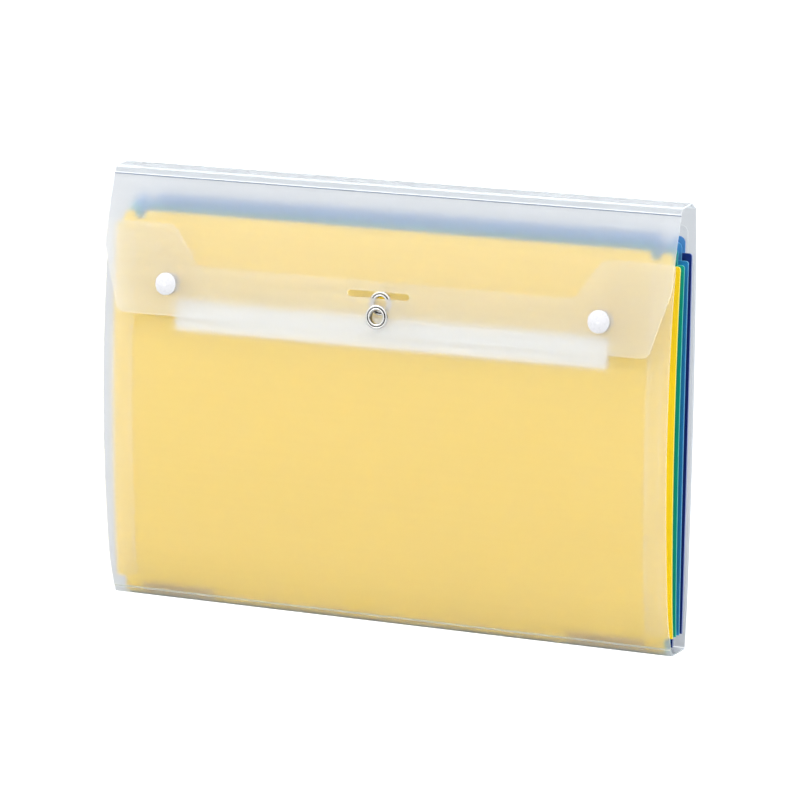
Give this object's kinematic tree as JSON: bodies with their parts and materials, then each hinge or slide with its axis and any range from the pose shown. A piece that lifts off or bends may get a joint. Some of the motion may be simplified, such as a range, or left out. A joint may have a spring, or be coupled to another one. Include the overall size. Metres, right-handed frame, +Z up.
{
  "type": "wall file holder",
  "caption": "Flat standing document case of frosted clear sheet with coloured dividers, gusseted pockets, and a creased snap-down flap with hanging eyelets.",
  "frame": {"origin": "middle of the underside of the bottom strip, on which the case stands", "axes": "+X along the width, to the right-hand end as the front is seen, +Y from front to back, +Z up"},
  "size_m": [0.33, 0.0419, 0.2385],
  "materials": {
    "clear_sheet": "frosted translucent polypropylene",
    "yellow_sheet": "satin",
    "green_sheet": "satin",
    "blue_sheet": "satin",
    "navy_sheet": "satin",
    "label_film": "satin white film",
    "nickel": "nickel plate",
    "snap_plastic": "glossy white"
  },
  "bodies": {
    "case_back": {"back_panel": "clear_sheet", "bottom_strip": "clear_sheet", "rear_liner": "clear_sheet", "navy_gusset_left": "clear_sheet", "navy_gusset_right": "clear_sheet"},
    "navy_divider": {"navy_index_sheet": "navy_sheet", "navy_front_sheet": "navy_sheet", "navy_tabs": "clear_sheet", "blue_gusset_left": "clear_sheet", "blue_gusset_right": "clear_sheet"},
    "blue_divider": {"blue_index_sheet": "blue_sheet", "blue_front_sheet": "blue_sheet", "blue_tabs": "clear_sheet", "green_gusset_left": "clear_sheet", "green_gusset_right": "clear_sheet"},
    "green_divider": {"green_index_sheet": "green_sheet", "green_front_sheet": "green_sheet", "green_tabs": "clear_sheet", "yellow_gusset_left": "clear_sheet", "yellow_gusset_right": "clear_sheet"},
    "yellow_divider": {"yellow_index_sheet": "yellow_sheet", "yellow_front_sheet": "yellow_sheet", "yellow_tabs": "clear_sheet", "index_label": "label_film", "front_gusset_left": "clear_sheet", "front_gusset_right": "clear_sheet"},
    "front": {"front_panel": "clear_sheet", "front_eyelet": "nickel", "front_eyelet_washer": "nickel", "snap_studs": "snap_plastic", "snap_back_caps": "snap_plastic"},
    "lid": {"lid_back_strip": "clear_sheet", "lid_top_strip": "clear_sheet"},
    "flap": {"flap_crease_strip": "clear_sheet", "flap": "clear_sheet", "flap_eyelet": "nickel", "flap_eyelet_washer": "nickel", "snap_caps": "snap_plastic", "snap_sockets": "snap_plastic"}
  },
  "joints": [
    {"name": "navy_fan", "type": "hinge", "parent": "case_back", "child": "navy_divider", "pos_m": [0, -0.01054, 0.00335], "axis": [1, 0, 0], "range_deg": [0, 4], "deforming": ["navy_gusset_left", "navy_gusset_right"]},
    {"name": "blue_fan", "type": "hinge", "parent": "navy_divider", "child": "blue_divider", "pos_m": [0, -0.01054, 0.00335], "axis": [1, 0, 0], "range_deg": [0, 4], "deforming": ["blue_gusset_left", "blue_gusset_right"]},
    {"name": "green_fan", "type": "hinge", "parent": "blue_divider", "child": "green_divider", "pos_m": [0, -0.01054, 0.00335], "axis": [1, 0, 0], "range_deg": [0, 4], "deforming": ["green_gusset_left", "green_gusset_right"]},
    {"name": "yellow_fan", "type": "hinge", "parent": "green_divider", "child": "yellow_divider", "pos_m": [0, -0.01054, 0.00335], "axis": [1, 0, 0], "range_deg": [0, 4], "deforming": ["yellow_gusset_left", "yellow_gusset_right"]},
    {"name": "front_fan", "type": "hinge", "parent": "yellow_divider", "child": "front", "pos_m": [0, -0.01054, 0.00335], "axis": [1, 0, 0], "range_deg": [0, 4], "deforming": ["front_gusset_left", "front_gusset_right"]},
    {"name": "lid_fold", "type": "hinge", "parent": "case_back", "child": "lid", "pos_m": [0, 0.00937, 0.23515], "axis": [-1, 0, 0], "range_deg": [0, 88]},
    {"name": "flap_fold", "type": "hinge", "parent": "lid", "child": "flap", "pos_m": [0, -0.0096, 0.2371], "axis": [-1, 0, 0], "range_deg": [0, 80]}
  ],
  "couplings": [
    {"joint": "navy_fan", "follows": "lid_fold", "ratio": 0.045454},
    {"joint": "blue_fan", "follows": "lid_fold", "ratio": 0.045454},
    {"joint": "green_fan", "follows": "lid_fold", "ratio": 0.045454},
    {"joint": "yellow_fan", "follows": "lid_fold", "ratio": 0.045454},
    {"joint": "front_fan", "follows": "lid_fold", "ratio": 0.045454},
    {"joint": "flap_fold", "follows": "lid_fold", "ratio": 0.90909}
  ]
}
